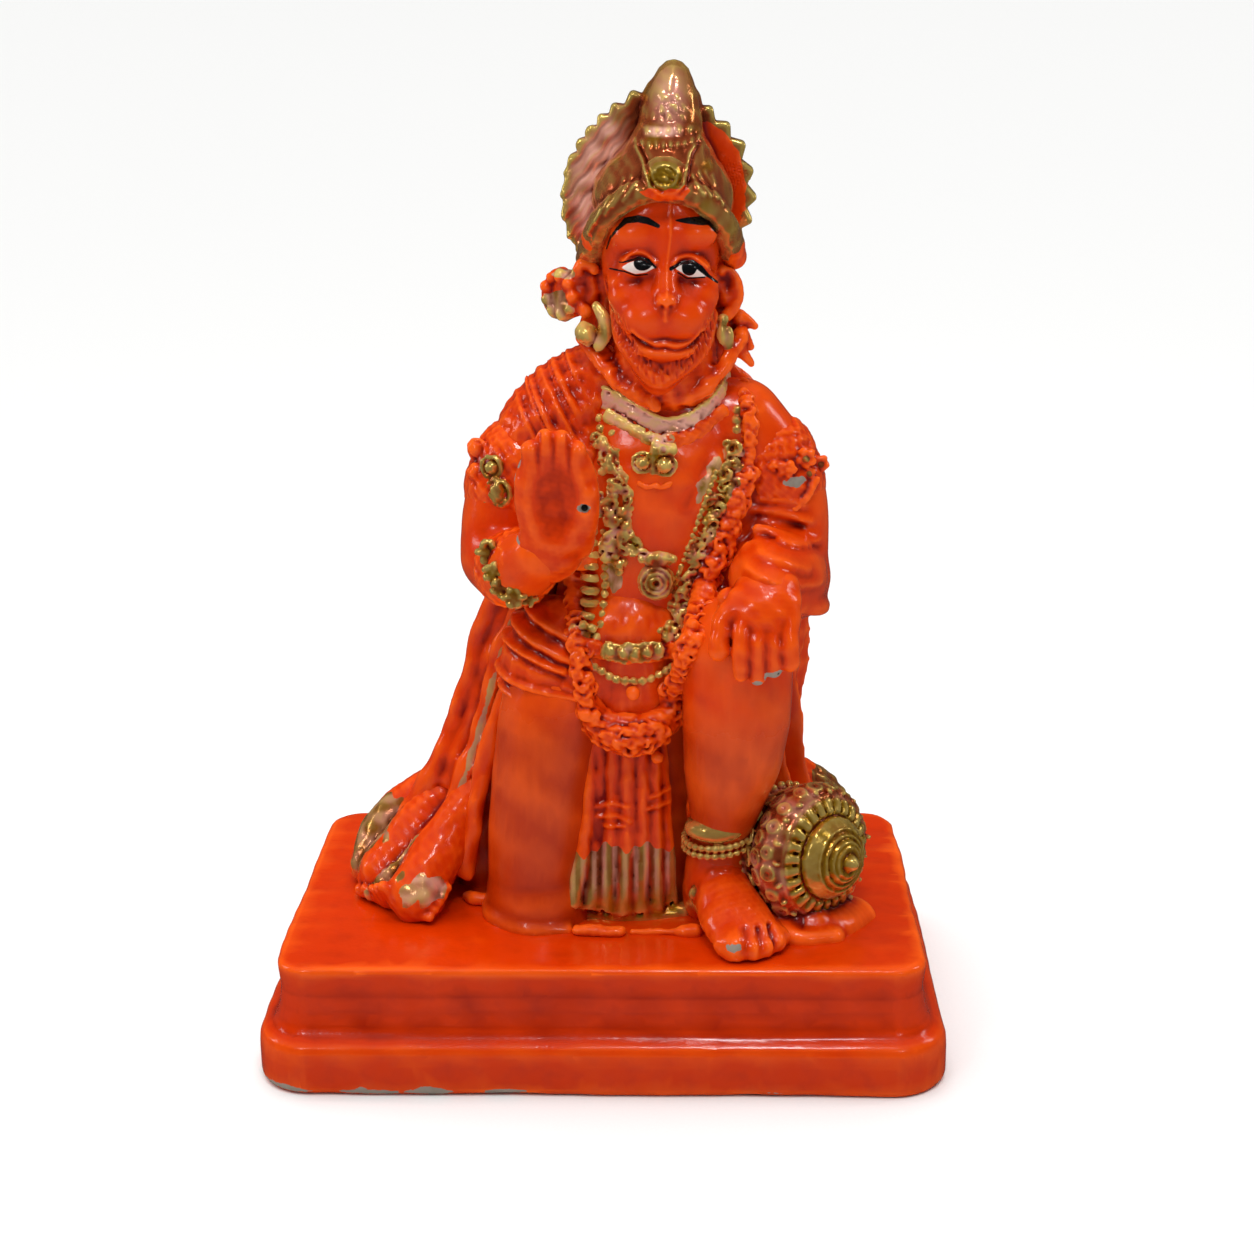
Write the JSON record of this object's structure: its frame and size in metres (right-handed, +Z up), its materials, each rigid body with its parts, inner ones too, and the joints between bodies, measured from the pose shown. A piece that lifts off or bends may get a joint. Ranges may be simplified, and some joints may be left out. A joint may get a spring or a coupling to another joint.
{
  "type": "hanuman figure",
  "caption": "Painted hanuman figure kneeling on one knee with a raised palm, a shawl down the back and a mace beside the foot, cast as one with its stepped rectangular plinth.",
  "frame": {"origin": "centre of the plinth's footprint, on the surface that the plinth stands on", "axes": "+Z up, -Y the way the figure faces, +X to the viewer's right"},
  "size_m": [0.177, 0.111, 0.25],
  "materials": {
    "painted_plaster": "solid cast plaster under glossy orange-red enamel, with antique gold paint on the crown, jewellery and mace, black and white paint on the eyes and brows, and bare grey plaster at the chips"
  },
  "bodies": {
    "root": {"painted_casting": "painted_plaster"}
  },
  "joints": []
}
